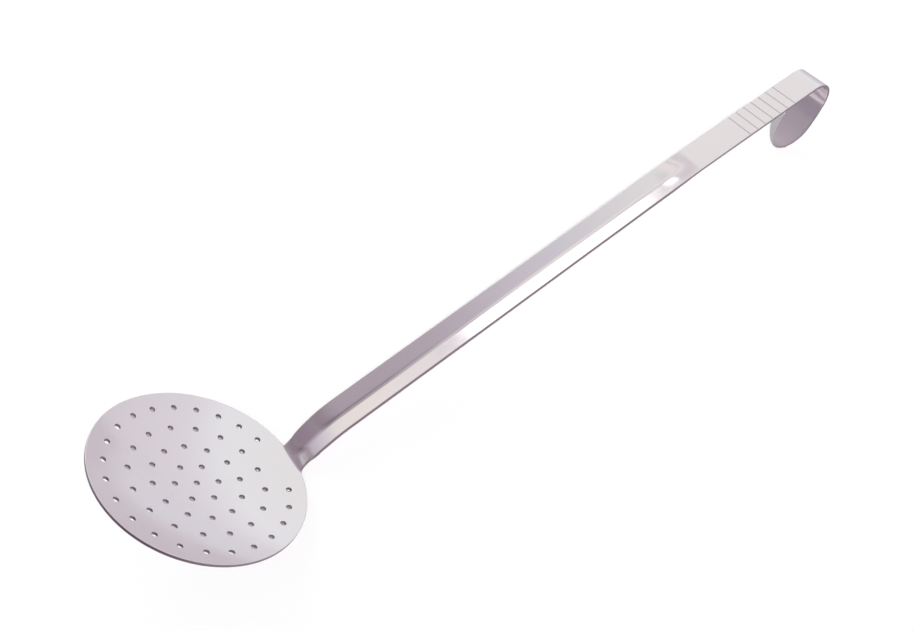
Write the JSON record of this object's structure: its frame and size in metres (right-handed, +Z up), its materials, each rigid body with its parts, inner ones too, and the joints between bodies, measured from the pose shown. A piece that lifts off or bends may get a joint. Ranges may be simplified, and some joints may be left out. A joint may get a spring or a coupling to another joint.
{
  "type": "skimmer",
  "caption": "Kitchen skimmer pressed from one stainless sheet: shallow perforated bowl, V-grooved handle, flat grip with cross lines, hooked end.",
  "frame": {"origin": "on the table, under the middle of the bounding box of the skimmer as it lies", "axes": "+X from the bowl towards the hook, +Y across the handle, +Z up from the table"},
  "size_m": [0.502, 0.12, 0.0833],
  "materials": {
    "steel": "satin-polished stainless steel"
  },
  "bodies": {
    "root": {"skimmer": "steel"}
  },
  "joints": []
}
